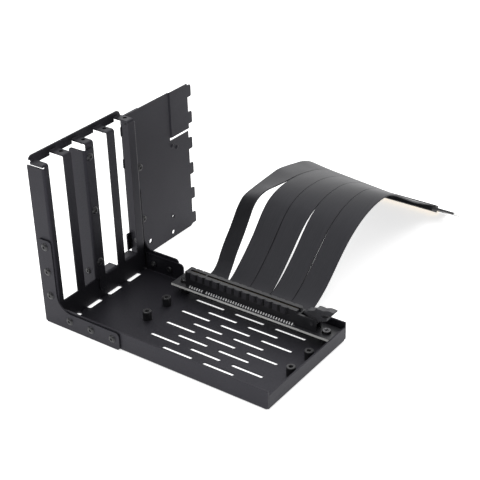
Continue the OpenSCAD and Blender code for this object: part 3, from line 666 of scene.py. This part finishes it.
# Riser board: black solder mask over a pale glass laminate, whose cut edge shows as a light line
# along the near side. It is screwed to the two posts, with a foam pad between it and the tray.
board_laminate, tree, shader = shader_tree("board_laminate")
shader.inputs["Specular IOR Level"].default_value = 0.5
place = add_node(tree, "ShaderNodeTexCoord")
face_up = add_node(tree, "ShaderNodeSeparateXYZ")
level = add_node(tree, "ShaderNodeMath", operation="ABSOLUTE")
is_face = add_node(tree, "ShaderNodeMath", {1: 0.5}, operation="GREATER_THAN")
weave = add_node(tree, "ShaderNodeTexNoise", {"Scale": 900, "Detail": 4, "Roughness": 0.7})
mask_tone = tones(tree, weave.outputs["Fac"], (0.012, 0.012, 0.014), (0.026, 0.026, 0.03),
                  low=0, high=1)
glass_tone = tones(tree, weave.outputs["Fac"], (0.78, 0.78, 0.77), (0.9, 0.9, 0.88),
                   low=0, high=1)
pick = add_node(tree, "ShaderNodeMix", data_type="RGBA")
relief = add_node(tree, "ShaderNodeBump", {"Strength": 0.4, "Distance": 0.00002})
join(tree, (place.outputs["Normal"], face_up.inputs["Vector"]),
     (face_up.outputs["Z"], level.inputs[0]), (level.outputs["Value"], is_face.inputs[0]),
     (place.outputs["Object"], weave.inputs["Vector"]),
     (is_face.outputs["Value"], pick.inputs["Factor"]),
     (glass_tone, pick.inputs["A"]), (mask_tone, pick.inputs["B"]),
     (pick.outputs["Result"], shader.inputs["Base Color"]),
     (weave.outputs["Fac"], relief.inputs["Height"]),
     (relief.outputs["Normal"], shader.inputs["Normal"]))
patchy_gloss(tree, shader, weave.outputs["Fac"], 0.3, 0.5)
finish_nodes(board_laminate, "socket_board", "plug_board")

# Socket housing: moulded in one piece of glass-filled black nylon and soldered down by its
# contacts, with a row of ribs on both long walls. The plug's cover is of the same nylon.
socket_nylon = worn_finish(
    "socket_nylon", dark=(0.009, 0.009, 0.011), light=(0.015, 0.015, 0.018),
    worn=(0.06, 0.06, 0.068), grain=1900, cloud_scale=90, gloss=(0.38, 0.52), bump=0.00002,
    edge=0.0002, wear=0.8)
finish_nodes(socket_nylon, "socket_housing", "plug_cover")
# The ribs take a paler copy of the housing's own nylon: a painted highlight for the light that the
# ribbed upper half of each wall catches.
rib_nylon_painted_highlight = worn_finish(
    "rib_nylon_painted_highlight", dark=(0.024, 0.023, 0.028), light=(0.04, 0.039, 0.046),
    worn=(0.09, 0.09, 0.1), grain=1900, cloud_scale=90, gloss=(0.34, 0.48), bump=0.00002,
    edge=0.0002, wear=0.8)


def close_body(mesh, rings):
    """Faces round a row of rings and over both its ends."""
    for low, high in zip(rings, rings[1:]):
        for k in range(len(low)):
            after = (k + 1) % len(low)
            mesh.faces.new((low[k], low[after], high[after], high[k]))
    for end in (rings[0], rings[-1]):
        mesh.faces.new(end)


socket_middle = 76.55
rib_outline = [(-2, 0), (2, 0), (2, 4.7), (1.7, 4.95), (-1.7, 4.95), (-2, 4.7)]
rib_wall = 3.75
rib_depth = 0.5
# How the rib's front differs from its back: it leans in, and is narrower and a little lower
rib_lean = 0.08
rib_narrowing = 0.88
rib_lowering = 0.94
rib_lift = 0.12
rib_low = 15.27
first_rib = 66.9
rib_pitch = 6
rib_count = 13
wall_rib = bmesh.new()
for side in (-1, 1):
    back = [wall_rib.verts.new((x / 1000, side * rib_wall / 1000, z / 1000))
            for x, z in rib_outline]
    front = [wall_rib.verts.new((x * rib_narrowing / 1000,
                                 side * (rib_wall + rib_depth - rib_lean * z) / 1000,
                                 (z * rib_lowering + rib_lift) / 1000)) for x, z in rib_outline]
    close_body(wall_rib, (back, front))
bmesh.ops.recalc_face_normals(wall_rib, faces=wall_rib.faces)
rib_pattern = as_piece("wall_rib_pattern", wall_rib)
rib_places = [(spot(first_rib + rib_pitch * k, socket_middle, rib_low), up)
              for k in range(rib_count)]
ribs = grown("socket_ribs", fixing_tree, rib_places, fixing=rib_pattern, finish=rib_nylon_painted_highlight)
bpy.data.objects.remove(rib_pattern)
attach(ribs, "mount")

# Resin bead: black resin run over the ribbon's soldered ends behind the housing, where it
# holds the wires down on the board.
end_width = 0.7
end_height = 0.5
least_tuck = 0.02
wave_turns = (0.9, 0.37)


def soft_bar(name, low, high, node, material, bulge, sag, around=20, along=90):
    """A long soft bar with full rounded sides and ends, a little uneven along its length."""
    middle, half = (low + high) / 2, (high - low) / 2
    mesh = bmesh.new()
    rings = []
    for n in range(along + 1):
        share = n / along
        end = min(share, 1 - share) * 2 * half.x / half.y
        tuck = math.sqrt(max(1 - max(1 - end, 0) ** 2, least_tuck))
        wave = math.sin(n * wave_turns[0]) * math.cos(n * wave_turns[1])
        uneven = 1 - sag * (0.5 + 0.5 * wave)
        wide = half.y * (end_width + (1 - end_width) * tuck)
        tall = half.z * (end_height + (1 - end_height) * tuck)
        ring = []
        for k in range(around):
            turn = 2 * math.pi * k / around
            y, z = (math.copysign(abs(f) ** bulge, f) for f in (math.cos(turn), math.sin(turn)))
            lift = uneven if z > 0 else 1
            ring.append(mesh.verts.new((low.x + share * 2 * half.x, middle.y + wide * y,
                                        middle.z + tall * z * lift)))
        rings.append(ring)
    close_body(mesh, rings)
    bmesh.ops.recalc_face_normals(mesh, faces=mesh.faces)
    bar = as_piece(name, mesh, material)
    bar.data.shade_smooth()
    bar.data.set_sharp_from_angle(angle=math.radians(50))
    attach(bar, "mount")
    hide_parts(node)
    return bar


bead_low = spot(64.5, 81.6, 9)
bead_high = spot(149.25, 84.5, 11)
soft_bar("solder_resin", bead_low, bead_high, "solder_cover", socket_nylon,
         bulge=0.8, sag=0.2)

# Foam pad: a long cut of soft black foam, squeezed between the riser board and the tray's floor.
# It keeps the solder joints off the metal, and its sides bulge out a little.
foam_black = worn_finish(
    "foam_black", dark=(0.004, 0.004, 0.005), light=(0.03, 0.03, 0.033), worn=(0.05, 0.05, 0.055),
    grain=2600, cloud_scale=400, gloss=(0.8, 0.95), bump=0.0002, edge=0.0002, wear=0.3)
pad_low = spot(60.5, 71.4, 5.4)
pad_high = spot(161.2, 83.2, 7.4)
foam_pad = soft_bar("foam_pad", pad_low, pad_high, "board_insulator", foam_black,
                    bulge=0.45, sag=0.04)

# Latch: the hinged catch at the socket's end, which snaps over the card's hook. It is moulded
# in a slightly paler nylon than the housing and turns on a pin in the housing's bay.
latch_nylon = worn_finish(
    "latch_nylon", dark=(0.03, 0.03, 0.034), light=(0.05, 0.05, 0.055),
    worn=(0.08, 0.08, 0.09), grain=1900, cloud_scale=90, gloss=(0.34, 0.48), bump=0.00002,
    edge=0.0002, wear=0.8)
finish_nodes(latch_nylon, "socket_latch")

# Contacts: gilt springs down both sides of the card slot and gilt pads on the plug's edge,
# and their tinned feet, soldered to the board in a row on each side of the housing. Every
# other foot reaches farther out from the wall.
contact_gilt = worn_finish(
    "contact_gilt", dark=(0.6, 0.4, 0.12), light=(0.8, 0.58, 0.22), worn=(0.85, 0.75, 0.5),
    grain=3000, cloud_scale=300, gloss=(0.2, 0.34), bump=0.000005, edge=0.0001, Metallic=1.0)
finish_nodes(contact_gilt, "socket_contacts", "plug_fingers")
tinned_foot = worn_finish(
    "tinned_foot", dark=(0.48, 0.48, 0.49), light=(0.74, 0.74, 0.75), worn=(0.9, 0.9, 0.9),
    grain=3000, cloud_scale=500, gloss=(0.3, 0.5), bump=0.00001, edge=0.0001, Metallic=0.3)
contact_count = 82
before_key = 11
key_places = 2
first_contact = 64.5
foot_half = 0.31
foot_wall = 3.74
toe_height = 0.3
fillet_out = 0.45
fillet_up = 0.55
foot_sizes = ((1.25, 1.4), (0.3, 0.2))


def foot_shape(name, reach, height):
    """A foot and its solder fillet on each side of the socket, sloped up to the wall."""
    mesh = bmesh.new()
    outline = [(foot_wall + reach, 0), (foot_wall + reach, toe_height),
               (foot_wall + reach * fillet_out, height * fillet_up), (foot_wall, height),
               (foot_wall, 0)]
    for side in (-1, 1):
        close_body(mesh, [[mesh.verts.new((x / 1000, side * y / 1000, z / 1000))
                           for y, z in outline] for x in (-foot_half, foot_half)])
    bmesh.ops.recalc_face_normals(mesh, faces=mesh.faces)
    return as_piece(name, mesh)


feet_mesh = bmesh.new()
for odd, (reach, height) in enumerate(foot_sizes):
    pattern = foot_shape(f"foot_pattern_{odd}", reach, height)
    places = []
    for n in range(odd, contact_count, 2):
        x = first_contact + n + (key_places if n >= before_key else 0)
        places.append((spot(x, socket_middle, board_top), up))
    row = grown(f"feet_row_{odd}", fixing_tree, places, fixing=pattern, finish=tinned_foot)
    feet_mesh.from_mesh(row.data)
    bpy.data.objects.remove(row)
    bpy.data.objects.remove(pattern)
feet = as_piece("soldered_feet", feet_mesh, tinned_foot)
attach(feet, "mount")
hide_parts("contact_feet")

# Board screws: two pan-head screws in black zinc, rubbed bright on the rims of their cross
# recesses, which hold the riser's board down on its posts.
black_zinc = worn_finish(
    "black_zinc", dark=(0.05, 0.05, 0.053), light=(0.1, 0.1, 0.105), worn=(0.45, 0.45, 0.45),
    grain=2500, cloud_scale=300, gloss=(0.2, 0.35), bump=0.00001, edge=0.0002, wear=1.2,
    Metallic=1.0)
finish_nodes(black_zinc, "board_screw_left", "board_screw_right")
